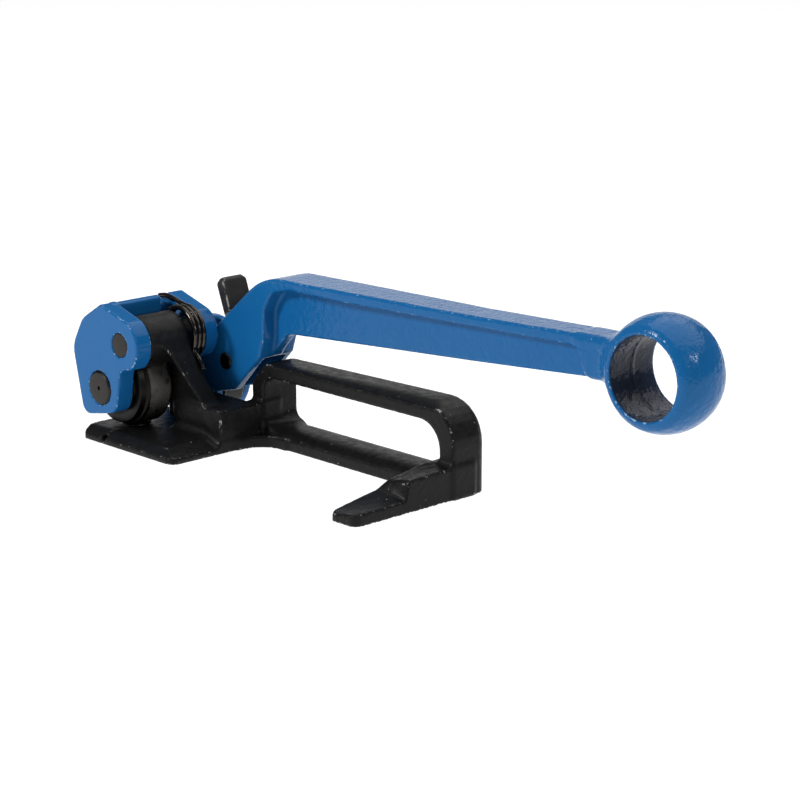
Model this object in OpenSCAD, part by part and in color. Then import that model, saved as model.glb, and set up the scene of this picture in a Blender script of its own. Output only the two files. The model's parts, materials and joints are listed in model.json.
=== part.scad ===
// Feed-wheel tensioner for steel strap.
// X runs along the tool towards the ball end, Y from the open strap side
// towards the lever, Z up. The origin is on the sole, under the feed shaft,
// in the middle of the strap's path.

/* [Foot and guide block] */
// Length of the foot along the strap
foot_l = 76.6; // [70:0.2:84]
// Edge of the foot on the open strap side, from the strap's middle
foot_open_y = 23.1; // [21:0.1:26]
// Height of the foot's top face
foot_h = 7.2; // [6.6:0.1:7.6]
// Height of the guide block, which is the saddle's floor
block_h = 23; // [20:0.5:24]
// Face of the guide block, which the strap's edge runs along
guide_y = 9.8; // [9.6:0.1:10.6]

/* [Hand loop and nose] */
// Length from the guide block's right face to the loop's outer end
loop_l = 142.1; // [130:0.1:150]
// Front face of the loop
loop_y0 = 39; // [38:0.5:41]
// Width of the loop across the tool
loop_w = 24; // [20:0.5:26]
// Height of the loop's top
loop_h = 47; // [45:0.5:49]
// Thickness of the loop's upper bar
loop_bar = 10.2; // [8:0.1:12]
// Reach of the nose past the strap's middle
nose_reach = 26; // [20:0.5:30]
// Width of the nose
nose_w = 19.7; // [14:0.1:22]

/* [Feed wheel and shaft] */
// Height of the feed shaft's axis
shaft_z = 30; // [29.9:0.1:30.2]
// Radius of the feed shaft
shaft_r = 9; // [8:0.1:9.2]
// Radius of the knurled feed wheel
wheel_r = 22.4; // [21.8:0.1:22.5]
// Radius of the gripper plug
plug_r = 7.5; // [6:0.1:8]

/* [Carrier] */
// Pivot of the carrier, along X
pivot_x = 17.9; // [17.5:0.1:18.3]
// Pivot of the carrier, above the sole
pivot_z = 56; // [55.5:0.1:56.5]
// Radius of the pivot pin in the boss
pivot_r = 6; // [5:0.1:6.2]
// Thickness of the carrier's two cheeks
cheek_t = 10; // [9:0.1:10.2]

/* [Lever] */
// Front face of the lever's fork
fork_y0 = 35.7; // [35.6:0.1:36]
// Width across the fork
fork_w = 24.2; // [23:0.1:24.6]
// Thickness of each fork cheek
fork_t = 5.2; // [4.6:0.1:5.4]
// Radius of the fork's round end
hub_r = 28; // [26:0.5:29]
// Thickness of the lever's web
web_t = 7.4; // [6:0.1:9]

/* [Ball eye] */
// Radius of the ball
ball_r = 27.5; // [26:0.1:29]
// Distance between the ball's two flats
ball_w = 31.4; // [28:0.1:34]
// Radius of the hole through the ball
eye_r = 19.5; // [17:0.1:20.5]
// Distance from the feed shaft to the ball's middle, along X
ball_x = 327.1; // [322:0.1:340]

/* [Ratchets] */
// Tip radius of the drive ratchet
drive_r = 20; // [19.6:0.1:20.2]
// Teeth on the drive ratchet
drive_teeth = 24; // [24]
// Tip radius of the holding ratchet
hold_r = 14.8; // [14.4:0.1:14.8]
// Teeth on the holding ratchet
hold_teeth = 12; // [12]

/* [Springs] */
// Wire of the carrier spring
wire_d = 2.8; // [2.4:0.1:2.8]
// Whole turns in the carrier spring
spring_turns = 2; // [1:1:2]

/* [Hidden] */

blue = [0.07, 0.29, 0.55];
black = [0.10, 0.10, 0.10];
dark_steel = [0.25, 0.25, 0.25];
bare_steel = [0.50, 0.48, 0.45];
bronze = [0.62, 0.47, 0.27];

// Clearances: a running fit, a gap between moving faces, and a cutter's overrun
run = 0.04;
gap = 0.4;
over = 1;

foot_x1 = 61.4;
foot_x0 = foot_x1 - foot_l;
foot_side_h = 3.2;
foot_bevel_y = 6;
foot_bevel_x = 12.2;
foot_back_y = 35.2;
block_x0 = 23.5;

loop_x1 = foot_x1 + loop_l;
loop_y1 = loop_y0 + loop_w;
window_x1 = loop_x1 - loop_bar;
window_z0 = 10.2;
window_z1 = loop_h - loop_bar;
blend_r = 18;

boss_r = 13.6;
boss_neck_r = 8.9;
cheek_y0 = -21.5;
cheek_y1 = cheek_y0 + cheek_t;
rear_y0 = 23.6;
rear_y1 = 33.3;
boss_y1 = 13.3;
lift_max = 4.5;
clip_t = 1;
clip_y1 = rear_y1 - 0.2;

bush_r = 11;
fork_y1 = fork_y0 + fork_w;
slot_y0 = fork_y0 + fork_t;
slot_y1 = fork_y1 - fork_t;
mid_y = (fork_y0 + fork_y1) / 2;
lever_bush_r = 11.5;
ball_z = 84.8;

wheel_y0 = -10.5;
collar_y1 = -6.4;
collar_r = 20.6;
wheel_y1 = 9.4;
hold_y0 = wheel_y1;
hold_y1 = 18.6;
drive_y0 = slot_y0 + 0.6;
drive_y1 = slot_y1 - 0.6;
key_w = 5;
plug_y = 2;
plug_pocket_z = 1.8;
plug_top = foot_h + 0.25;
screw_x = 3;
screw_z = 3.4;
screw_r = 2;

pawl_x = 35.2;
pawl_z = 41.2;
pawl_pin_r = 3.6;
pawl_y0 = slot_y0 + 0.3;
pawl_y1 = slot_y1 - 0.3;
pawl_face_a = -45;
thumb_w = 16.6;

hold_x = -15.5;
hold_z = 45.5;
hold_pin_r = 3;
hold_face_a = 85;
hold_pawl_y0 = 10.4;
hold_pawl_y1 = 17.2;

// The carrier spring hangs to the right on the boss's neck
spring_x = 21.2;
spring_z = 57.1;
spring_r = 14;
spring_lead_a = 95;
spring_tail_a = -25;

// Plane geometry --------------------------------------------------------

function polar(r, a) = [r * cos(a), r * sin(a)];
function on_shaft(r, a) = [0, shaft_z] + polar(r, a);
function unit(v) = v / norm(v);
function wrap(a) = a > 180 ? a - 360 : a < -180 ? a + 360 : a;
function turn_of(v) = atan2(v[1], v[0]);

// Points along a circle's arc from angle a0 to a1
function arc(c, r, a0, a1, n = 12) = [for (i = [0:n]) c + polar(r, a0 + (a1 - a0) * i / n)];

// The rounded corner at q between p and s, with radius r
function corner(p, q, s, r, n = 6) =
    r <= 0 ? [q] :
    let (u = unit(p - q), v = unit(s - q), half = acos(u * v) / 2)
    let (c = q + unit(u + v) * r / sin(half))
    let (a = turn_of(q + u * r / tan(half) - c), b = turn_of(q + v * r / tan(half) - c))
    arc(c, r, a, a + wrap(b - a), n);

// An outline whose corners are [x, y, radius]
function rounded(ps) =
    let (n = len(ps))
    [for (i = [0:n - 1])
        let (p = ps[(i + n - 1) % n], q = ps[i], s = ps[(i + 1) % n])
        each corner([p[0], p[1]], [q[0], q[1]], [s[0], s[1]], q[2])];

// Points that stay sharp among rounded corners
function sharp(ps) = [for (p = ps) [p[0], p[1], 0]];

// A ratchet's outline. Each tooth has a flat face, and the gap on its counter-clockwise side
function ratchet(r_tip, r_root, teeth, phase) =
    [for (i = [0:teeth - 1])
        let (a = phase + 360 * i / teeth)
        each [polar(r_tip, a - 0.4), polar(r_root, a + 0.6)]];

// Solids from outlines ----------------------------------------------------

// An outline in X and Z, from y0 to y1
module along_y(y0, y1) {
    translate([0, y1, 0]) rotate([90, 0, 0]) linear_extrude(y1 - y0) children();
}

// An outline in Y and Z, from x0 to x1
module along_x(x0, x1) {
    translate([x0, 0, 0]) rotate([90, 0, 90]) linear_extrude(x1 - x0) children();
}

module round_y(x, z, r, y0, y1) {
    translate([x, y1, z]) rotate([90, 0, 0]) cylinder(r = r, h = y1 - y0, $fn = 96);
}

// A round bar with a chamfered rim at each end
module chamfered_y(x, z, r, y0, y1, c) {
    translate([x, y1, z]) rotate([90, 0, 0]) rotate_extrude($fn = 96)
        polygon([[0, 0], [r - c, 0], [r, c], [r, y1 - y0 - c], [r - c, y1 - y0], [0, y1 - y0]]);
}

module ring_y(x, z, r, bore, y0, y1) {
    difference() {
        round_y(x, z, r, y0, y1);
        round_y(x, z, bore, y0 - over, y1 + over);
    }
}

// A ring with a gap, as a circlip is, its gap towards angle a
module circlip(x, z, r, bore, y0, y1, a) {
    difference() {
        ring_y(x, z, r, bore, y0, y1);
        translate([x, 0, z]) rotate([0, -a, 0])
            translate([0, y0 - over, -bore * 0.35]) cube([2 * r, y1 - y0 + 2 * over, bore * 0.7]);
    }
}

// A wire swept along points, as one closed solid. Its rings face along the wire
function ring_at(path, i, r, sides) =
    let (n = len(path) - 1)
    let (t = unit(path[min(i + 1, n)] - path[max(i - 1, 0)]))
    let (u = unit(cross(t, [0, 1, 0])), v = cross(t, u))
    [for (k = [0:sides - 1]) path[i] + r * (cos(360 * k / sides) * u + sin(360 * k / sides) * v)];

module wire(path, r, sides = 8) {
    n = len(path);
    points = [for (i = [0:n - 1]) each ring_at(path, i, r, sides)];
    walls = [for (i = [0:n - 2]) for (k = [0:sides - 1])
        let (m = (k + 1) % sides)
        [i * sides + k, i * sides + m, (i + 1) * sides + m, (i + 1) * sides + k]];
    first = [for (k = [0:sides - 1]) sides - 1 - k];
    last = [for (k = [0:sides - 1]) (n - 1) * sides + k];
    polyhedron(points, concat([first], walls, [last]), convexity = 8);
}

// A coil's points about an axis along Y, from angle a0, through so many turns
function coil(x, z, r, y0, y1, a0, turns, per_turn = 20) =
    let (n = ceil(abs(turns) * per_turn))
    [for (i = [0:n])
        let (a = a0 + 360 * turns * i / n)
        [x + r * cos(a), y0 + (y1 - y0) * i / n, z + r * sin(a)]];

// Base --------------------------------------------------------------------

module foot_plate() {
    intersection() {
        linear_extrude(foot_h) polygon(rounded([
            [foot_x0, -foot_open_y, 4], [foot_x1, -foot_open_y, 5],
            [foot_x1, foot_back_y, 1], [foot_x0, foot_back_y, 4]]));
        along_y(-foot_open_y, foot_back_y) polygon([
            [foot_x0, 0], [foot_x1, 0], [foot_x1, foot_side_h],
            [foot_x1 - foot_bevel_x, foot_h], [foot_x0, foot_h]]);
        along_x(foot_x0, foot_x1) polygon([
            [-foot_open_y, 0], [foot_back_y, 0], [foot_back_y, foot_h],
            [foot_bevel_y - foot_open_y, foot_h], [-foot_open_y, foot_side_h]]);
    }
}

module guide_block() {
    linear_extrude(block_h) polygon(rounded([
        [block_x0, guide_y, 1], [foot_x1, guide_y, 1.5],
        [foot_x1, foot_back_y, 0], [block_x0, foot_back_y, 3]]));
}

// The arm leans out over the strap from the guide block up to the pivot boss
module pivot_arm() {
    hull() {
        translate([0, 0, block_h - 3]) linear_extrude(0.5)
            polygon([[block_x0, guide_y], [49, guide_y], [49, 17.5], [block_x0, 17.5]]);
        along_y(-5, 12.4) polygon([[22, 46], [29, 48.5], [30.6, 57.5], [24, 63]]);
    }
}

module pivot_boss() {
    round_y(pivot_x, pivot_z, boss_r, cheek_y1 + gap, boss_y1);
    round_y(pivot_x, pivot_z, boss_neck_r, boss_y1 - over, rear_y0 - gap);
}

// The wheel's room in the arm and boss. It is centred on the wheel at half of the carrier's
// lift, and large enough for the whole of it
module wheel_room() {
    half_travel = norm([pivot_x, pivot_z - shaft_z]) * 2 * sin(lift_max / 4);
    translate([pivot_x, 0, pivot_z]) rotate([0, lift_max / 2, 0])
        round_y(-pivot_x, shaft_z - pivot_z, wheel_r + half_travel + 0.8, cheek_y1 - over, wheel_y1 + 1.2);
}

module hand_loop() {
    outer = rounded([
        [52.4, 0, 0], [loop_x1, 0, 3], [loop_x1, loop_h, 21],
        [62.6, loop_h - 3.4, 7], [52.4, 32.8, 6]]);
    window = rounded([
        [foot_x1, window_z0, 6], [window_x1, window_z0, 9],
        [window_x1, window_z1, 14], [foot_x1, window_z1, 6]]);
    section = rounded([
        [loop_y0, 0, 1], [loop_y1, 0, 2], [loop_y1, loop_h, 9], [loop_y0 + 11, loop_h, 7],
        [loop_y0, loop_h - 3.6, 1.5]]);
    bar_top = rounded([
        [loop_y0 - over, 6.4, 0], [loop_y0, 6.4, 1], [loop_y0 + 10, window_z0, 6],
        [loop_y1 - 6, window_z0, 4], [loop_y1, 6, 1], [loop_y1 + over, 6, 0],
        [loop_y1 + over, 20, 0], [loop_y0 - over, 20, 0]]);
    difference() {
        intersection() {
            along_y(loop_y0, loop_y1) polygon(outer);
            along_x(foot_x1 - 20, loop_x1 + over) polygon(section);
        }
        along_y(loop_y0 - over, loop_y1 + over) polygon(window);
        along_x(foot_x1 + 8, window_x1 - 8) polygon(bar_top);
    }
    // The upright carries on into the guide block
    translate([52.4, foot_back_y - over, 0]) cube([foot_x1 - 52.4, loop_w / 2, block_h]);
}

// The hollow corner between the foot and the loop's lower bar
module corner_blend() {
    linear_extrude(6.4) polygon(concat(
        arc([foot_x1 + blend_r, loop_y0 - blend_r], blend_r, 180, 90, 10),
        [[foot_x1 + blend_r, loop_y0 + 5], [foot_x1 - 5, loop_y0 + 5], [foot_x1 - 5, loop_y0 - blend_r]]));
}

// The nose closes the sealing gap: a thin sloped tip, a step, and a thick root
module nose() {
    x0 = loop_x1 - nose_w;
    intersection() {
        along_x(x0, loop_x1) polygon([
            [-nose_reach, 0], [loop_y0 + 14, 0], [loop_y0 + 14, 17],
            [13, 16.2], [4, 7.4], [-nose_reach, 5.6]]);
        linear_extrude(20) polygon(rounded([
            [x0, 4 - nose_reach, 4], [x0 + 3, -nose_reach, 2], [loop_x1, -nose_reach, 3],
            [loop_x1, loop_y0 + 14, 0], [x0 - 4, loop_y0 + 14, 0], [x0 - 4, loop_y0 - 2, 0],
            [x0, loop_y0 - 12, 8]]));
        along_y(-nose_reach, loop_y0 + 14) polygon([
            [x0 - 5, 0], [loop_x1, 0], [loop_x1, 20], [x0 + 4, 20], [x0 - 1, 3], [x0 - 5, 3]]);
    }
}

module base_casting() {
    color(black) difference() {
        union() {
            foot_plate();
            guide_block();
            difference() {
                union() {
                    pivot_arm();
                    pivot_boss();
                }
                wheel_room();
            }
            hand_loop();
            corner_blend();
            nose();
        }
        round_y(pivot_x, pivot_z, pivot_r + run, cheek_y1 - over, rear_y0 + over);
        translate([0, plug_y, plug_pocket_z]) cylinder(r = plug_r, h = foot_h, $fn = 96);
        round_y(screw_x, screw_z, screw_r, -foot_open_y - over, plug_y - 5);
    }
}

module gripper_plug() {
    color(bare_steel) translate([0, plug_y, 0]) difference() {
        translate([0, 0, plug_pocket_z]) cylinder(r = plug_r, h = plug_top - plug_pocket_z, $fn = 96);
        // Shallow serrations across the strap
        for (x = [-7:1:7])
            translate([x, 0, plug_top]) rotate([0, 45, 0]) cube([0.42, 20, 0.42], center = true);
    }
}

module plug_grub_screw() {
    socket_d = 2.4;
    seat_y = plug_y - sqrt(pow(plug_r, 2) - pow(screw_x, 2)) - 0.9;
    color(dark_steel) difference() {
        chamfered_y(screw_x, screw_z, screw_r, 3 - foot_open_y, seat_y, 0.3);
        round_y_hex(screw_x, screw_z, socket_d / 2, 2 - foot_open_y, 5.5 - foot_open_y);
    }
}

module round_y_hex(x, z, r, y0, y1) {
    translate([x, y1, z]) rotate([90, 0, 0]) cylinder(r = r, h = y1 - y0, $fn = 6);
}

// Carrier -------------------------------------------------------------------

cheek_outline = rounded(concat(
    [[-15.2, 12.9, 6], [13.2, 12.9, 6.5], [15.6, 28.5, 4], [17.6, 42, 3], [23.4, 43.6, 3]],
    sharp(arc([pivot_x, pivot_z], 14.7, -56, 62, 20)),
    [[2.2, 75.6, 2], [-14.4, 65.4, 9], [-23.6, 49.5, 9]]));

module carrier_frame() {
    color(blue) difference() {
        union() {
            along_y(cheek_y0, cheek_y1) polygon(cheek_outline);
            along_y(rear_y0, rear_y1) polygon(cheek_outline);
            // The bridge that joins the cheeks, cut lower where the spring's leg hooks over it
            along_y(cheek_y1 - over, 16.8) polygon([
                [-13.6, 65.4], [1.9, 75.3], [5, 74.4], [5, 66.2], [-6, 62.5], [-13.6, 62]]);
            along_y(16, rear_y0 + over) polygon([
                [-13.6, 65.4], [-2, 70], [2.5, 69.6], [2.5, 66], [-6, 62.5], [-13.6, 62]]);
        }
        round_y(pivot_x, pivot_z, pivot_r + 0.5, cheek_y0 - over, cheek_y1 + over);
        round_y(pivot_x, pivot_z, pivot_r, rear_y0 - over, rear_y1 + over);
        round_y(0, shaft_z, shaft_r + 0.25, cheek_y0 - over, cheek_y1);
        round_y(0, shaft_z, bush_r, cheek_y0 + 2, cheek_y1 + over);
        round_y(0, shaft_z, bush_r, rear_y0 - over, rear_y1 + over);
        round_y(hold_x, hold_z, hold_pin_r, rear_y0 - over, rear_y1 + over);
        // Recess for the pivot's circlip, which keeps it clear of the passing lever
        round_y(pivot_x, pivot_z, pivot_r + 2.4, clip_y1 - clip_t - 0.2, rear_y1 + over);
    }
}

module pivot_pin() {
    color(dark_steel) difference() {
        union() {
            chamfered_y(pivot_x, pivot_z, pivot_r + 0.5, cheek_y0 + 0.2, cheek_y1, 0.4);
            chamfered_y(pivot_x, pivot_z, pivot_r, cheek_y1 - over, rear_y1 + 0.4, 0.3);
        }
        ring_y(pivot_x, pivot_z, pivot_r + over, pivot_r - 0.5, clip_y1 - clip_t, clip_y1);
    }
}

module pivot_circlip() {
    color(dark_steel)
        circlip(pivot_x, pivot_z, pivot_r + 2, pivot_r - 0.5, clip_y1 - clip_t, clip_y1, 150);
}

// One leg hooks over the bridge, and the other lies down the arm's right face
module carrier_spring() {
    turns = spring_turns + (spring_lead_a - spring_tail_a) / 360;
    y1 = rear_y0 - 0.3 - wire_d / 2;
    y0 = y1 - turns * (wire_d + 0.05);
    lead = [[-6.5, y1, 71.2], [-2.5, y1, 73.4], [3, y1, 74], [10, y1, 73], [15.5, y1, 71.7]];
    loops = coil(spring_x, spring_z, spring_r, y1, y0, spring_lead_a, -turns);
    tail = [[34.6, 15.5, 49.2], [36.2, 15.9, 47.2], [38.2, 16, 44.9], [40.5, 16, 41.1]];
    color(dark_steel) wire(concat(lead, loops, tail), wire_d / 2);
}

// Feed shaft and what turns with it ---------------------------------------------

module front_bush() {
    color(bronze) ring_y(0, shaft_z, bush_r, shaft_r + run, cheek_y0 + 2, cheek_y1);
}

module rear_bush() {
    color(bronze) ring_y(0, shaft_z, bush_r, shaft_r + run, rear_y0, rear_y1);
}

module front_thrust_washer() {
    color(bronze) ring_y(0, shaft_z, 14, shaft_r + 0.2, cheek_y1 + 0.1, wheel_y0 - 0.1);
}

module rear_thrust_washer() {
    color(bronze) ring_y(0, shaft_z, 13.5, shaft_r + 0.2, rear_y1 + 0.1, fork_y0 - 0.2);
}

module feed_shaft() {
    end_y = fork_y1 + 3.6;
    color(dark_steel) difference() {
        chamfered_y(0, shaft_z, shaft_r, cheek_y0 - 0.8, end_y, 0.9);
        // Centre holes from turning
        round_y(0, shaft_z, 1.1, cheek_y0 - 2, cheek_y0 + 2);
        round_y(0, shaft_z, 1.1, end_y - 3, end_y + over);
        ring_y(0, shaft_z, shaft_r + over, shaft_r - 0.7, fork_y1 + 1.3, fork_y1 + 2.5);
        key_in_shaft(wheel_y0 + 3, hold_y1 - 1);
        key_in_shaft(drive_y0 + 0.5, drive_y1 - 0.5);
    }
}

// A flat key, half in the shaft and half in what it drives
module key_in_shaft(y0, y1) {
    translate([-key_w / 2, y0, shaft_z + shaft_r - 2.6]) cube([key_w, y1 - y0, key_w]);
}

module feed_wheel() {
    color(dark_steel) difference() {
        union() {
            round_y(0, shaft_z, collar_r, wheel_y0, collar_y1 + over);
            chamfered_y(0, shaft_z, wheel_r, collar_y1, wheel_y1, 0.8);
        }
        round_y(0, shaft_z, shaft_r, wheel_y0 - over, wheel_y1 + over);
        key_in_shaft(wheel_y0 + 3, wheel_y1 + over);
    }
}

module feed_wheel_key() {
    color(bare_steel) key_in_shaft(wheel_y0 + 3, hold_y1 - 1);
}

module holding_ratchet() {
    color(dark_steel) difference() {
        translate([0, 0, shaft_z]) along_y(hold_y0, hold_y1)
            polygon(ratchet(hold_r, hold_r - 2.2, hold_teeth, hold_face_a));
        round_y(0, shaft_z, shaft_r, hold_y0 - over, hold_y1 + over);
        key_in_shaft(hold_y0 - over, hold_y1 - 1);
    }
}

module ratchet_spacer() {
    color(bare_steel) ring_y(0, shaft_z, 12, shaft_r + 0.1, hold_y1, rear_y0 - 0.2);
}

module drive_ratchet() {
    color(dark_steel) difference() {
        translate([0, 0, shaft_z]) along_y(drive_y0, drive_y1)
            polygon(ratchet(drive_r, drive_r - 2.3, drive_teeth, pawl_face_a));
        round_y(0, shaft_z, shaft_r, drive_y0 - over, drive_y1 + over);
        key_in_shaft(drive_y0 + 0.5, drive_y1 - 0.5);
    }
}

module drive_ratchet_key() {
    color(bare_steel) key_in_shaft(drive_y0 + 0.5, drive_y1 - 0.5);
}

module shaft_end_washer() {
    color(bare_steel) ring_y(0, shaft_z, 13, shaft_r + 0.1, fork_y1 + 0.2, fork_y1 + 1.3);
}

module shaft_circlip() {
    color(dark_steel)
        circlip(0, shaft_z, shaft_r + 2.4, shaft_r - 0.7, fork_y1 + 1.3, fork_y1 + 2.5, 200);
}

// Lever ---------------------------------------------------------------------

// The fork and leg, as seen from the front
leg_outline = rounded(concat(
    sharp(arc([0, shaft_z], hub_r, 50, 345, 40)),
    [[41.6, 26.4, 2], [62.6, 47.7, 2], [66, 58, 8], [66.6, 74, 10], [73, 84, 8], [86, 87.2, 8],
     [98, 87.4, 0], [98, 92.4, 0], [67, 91.4, 14], [56, 84, 8]]));

arm_outline = [[66, 84], [86, 87.2], [126, 87.2], [211, 89.4], [275, 91], [300, 91.5],
    [306, 97], [275, 96.6], [211, 94.4], [126, 92.8], [96, 92.2], [70.6, 90.6]];

module lever_arm() {
    // Flange along the top, narrowing towards the ball
    intersection() {
        along_y(fork_y0, fork_y1) polygon(arm_outline);
        translate([0, 0, 70]) linear_extrude(40) polygon([
            [60, fork_y0], [74, fork_y0], [98, mid_y - 11], [290, mid_y - 9], [306, mid_y - 9],
            [306, mid_y + 9], [290, mid_y + 9], [98, mid_y + 11], [74, fork_y1], [60, fork_y1]]);
    }
    along_y(mid_y - web_t / 2, mid_y + web_t / 2) polygon(rounded(concat(
        [[60, 49, 0], [62.6, 47.7, 2], [76, 61.2, 8]],
        sharp([[160, 67], [210, 70.4], [306, 77.6], [306, 93], [210, 91], [86, 89], [60, 86]]))));
    // The neck, where the web thickens into the ball
    along_y(mid_y - 8.5, mid_y + 8.5) polygon(rounded([
        [286, 76.2, 3], [308, 77.6, 0], [308, 96.8, 0], [278, 95.6, 2]]));
}

module ball_eye() {
    translate([ball_x, mid_y, ball_z]) rotate([90, 0, 0]) rotate_extrude($fn = 96) intersection() {
        circle(r = ball_r, $fn = 96);
        translate([0, -ball_w / 2]) square([2 * ball_r, ball_w]);
    }
}

module lever_handle() {
    color(blue) difference() {
        union() {
            along_y(fork_y0, fork_y1) polygon(leg_outline);
            lever_arm();
            ball_eye();
        }
        // Room for the ratchet and the drive pawl between the fork's cheeks
        along_y(slot_y0, slot_y1) polygon(rounded([
            [-40, -5, 0], [50, -5, 0], [60.5, 40, 0], [60.5, 56, 5], [47, 72, 8],
            [36, 100, 0], [-40, 100, 0]]));
        round_y(ball_x, ball_z, eye_r, mid_y - ball_w, mid_y + ball_w);
        round_y(0, shaft_z, lever_bush_r, fork_y0 - over, fork_y1 + over);
        round_y(pawl_x, pawl_z, pawl_pin_r, fork_y0 - over, fork_y1 + over);
    }
}

module lever_front_bush() {
    color(bronze) ring_y(0, shaft_z, lever_bush_r, shaft_r + run, fork_y0, slot_y0);
}

module lever_rear_bush() {
    color(bronze) ring_y(0, shaft_z, lever_bush_r, shaft_r + run, slot_y1, fork_y1);
}

// Pawls -----------------------------------------------------------------------

pawl_hub_r = 7;
pawl_at = [pawl_x, pawl_z];
hold_at = [hold_x, hold_z];

// A hub, a nose that curves round the ratchet to the tooth it pushes, and the thumb's tail
module drive_pawl() {
    face = pawl_face_a;
    nose = concat(
        [on_shaft(drive_r - 2.1, face + 1.5), on_shaft(drive_r + 4.5, face + 2)],
        arc([0, shaft_z], drive_r + 9, face + 12, 2, 8),
        [pawl_at + [5, -4.6], pawl_at, pawl_at + [-6.6, -1.8]],
        arc([0, shaft_z], drive_r + 0.9, 12, face + 13, 8),
        [on_shaft(drive_r - 0.4, face + 9.5)]);
    tail = rounded([
        [pawl_x - 6.9, pawl_z - 1, 0], [pawl_x + 1, pawl_z, 0], [pawl_x + 4, pawl_z + 5, 2],
        [37.9, 59, 8], [28.3, 85.6, 2.4], [22.7, 82.6, 2.4], [31.3, 60, 8]]);
    // Above the fork's cheeks the tail is wider than the slot between them
    above_fork = [[10, 46.4], [60, 89.3], [60, 100], [10, 100]];
    color(black) difference() {
        union() {
            along_y(pawl_y0, pawl_y1) union() {
                translate(pawl_at) circle(r = pawl_hub_r, $fn = 64);
                polygon(nose);
                polygon(tail);
            }
            along_y(mid_y - thumb_w / 2, mid_y + thumb_w / 2) intersection() {
                polygon(tail);
                polygon(above_fork);
            }
        }
        round_y(pawl_x, pawl_z, pawl_pin_r + run, pawl_y0 - over, pawl_y1 + over);
        ring_y(pawl_x, pawl_z, pawl_hub_r + 0.6, pawl_pin_r, pawl_y1 - 3.6, pawl_y1 + over);
    }
}

module drive_pawl_pin() {
    head_y0 = fork_y0 - 1.4;
    color(dark_steel) difference() {
        union() {
            chamfered_y(pawl_x, pawl_z, 4.6, head_y0, fork_y0, 0.9);
            chamfered_y(pawl_x, pawl_z, pawl_pin_r, head_y0 + 0.5, fork_y1 + 2.2, 0.4);
        }
        ring_y(pawl_x, pawl_z, pawl_pin_r + over, pawl_pin_r - 0.5, fork_y1 + 0.2, fork_y1 + 1.2);
    }
}

module pawl_pin_circlip() {
    color(dark_steel)
        circlip(pawl_x, pawl_z, pawl_pin_r + 2, pawl_pin_r - 0.5, fork_y1 + 0.2, fork_y1 + 1.2, 30);
}

module drive_pawl_spring() {
    wire_r = 0.55;
    r = pawl_pin_r + 1 + wire_r;
    y0 = pawl_y1 - 3;
    y1 = pawl_y1 - 0.9;
    turns = coil(pawl_x, pawl_z, r, y0, y1, 60, 1.75, 16);
    lead = [for (s = [8, 4]) [pawl_x + r * cos(60) + s * sin(60) * 0.9, y0,
        pawl_z + r * sin(60) - s * cos(60) * 0.2 + s * 0.3]];
    color(dark_steel) wire(concat(lead, turns), wire_r, 6);
}

module holding_pawl() {
    face = hold_face_a;
    color(dark_steel) difference() {
        along_y(hold_pawl_y0, hold_pawl_y1) union() {
            translate(hold_at) circle(r = 4.8, $fn = 48);
            polygon(concat(
                [on_shaft(hold_r - 1.9, face + 1.8), on_shaft(hold_r + 0.5, face + 1.2),
                 on_shaft(hold_r + 3.2, face + 6), hold_at + [3, 3.7], hold_at + [-0.4, 0]],
                [hold_at + [1.5, -4.5]],
                arc([0, shaft_z], hold_r + 0.7, face + 34, face + 24, 3),
                [on_shaft(hold_r - 1.1, face + 12)]));
        }
        round_y(hold_x, hold_z, hold_pin_r + run, hold_pawl_y0 - over, hold_pawl_y1 + over);
    }
}

module holding_pawl_pin() {
    color(dark_steel) {
        chamfered_y(hold_x, hold_z, 3.9, hold_pawl_y0 - 0.65, hold_pawl_y0 - 0.15, 0.2);
        chamfered_y(hold_x, hold_z, hold_pin_r, hold_pawl_y0 - 0.5, rear_y1, 0.3);
    }
}

module holding_pawl_spring() {
    wire_r = 0.5;
    r = hold_pin_r + 0.8 + wire_r;
    y0 = hold_pawl_y1 + 0.9;
    y1 = rear_y0 - 0.9;
    turns = coil(hold_x, hold_z, r, y0, y1, 250, 3.5, 16);
    color(dark_steel) wire(turns, wire_r, 6);
}

base_casting();
gripper_plug();
plug_grub_screw();
carrier_frame();
pivot_pin();
pivot_circlip();
carrier_spring();
front_bush();
rear_bush();
front_thrust_washer();
rear_thrust_washer();
feed_shaft();
feed_wheel();
feed_wheel_key();
holding_ratchet();
ratchet_spacer();
drive_ratchet();
drive_ratchet_key();
shaft_end_washer();
shaft_circlip();
lever_handle();
lever_front_bush();
lever_rear_bush();
drive_pawl();
drive_pawl_pin();
pawl_pin_circlip();
drive_pawl_spring();
holding_pawl();
holding_pawl_pin();
holding_pawl_spring();
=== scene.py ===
"""A hand tensioner for steel strap: the finished surfaces and their paint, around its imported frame.

Lengths are in millimetres inside the shape functions and become metres in the meshes.
X runs along the tool towards the ball, Y towards the lever and Z up from the sole.
"""
import json
import math

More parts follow.
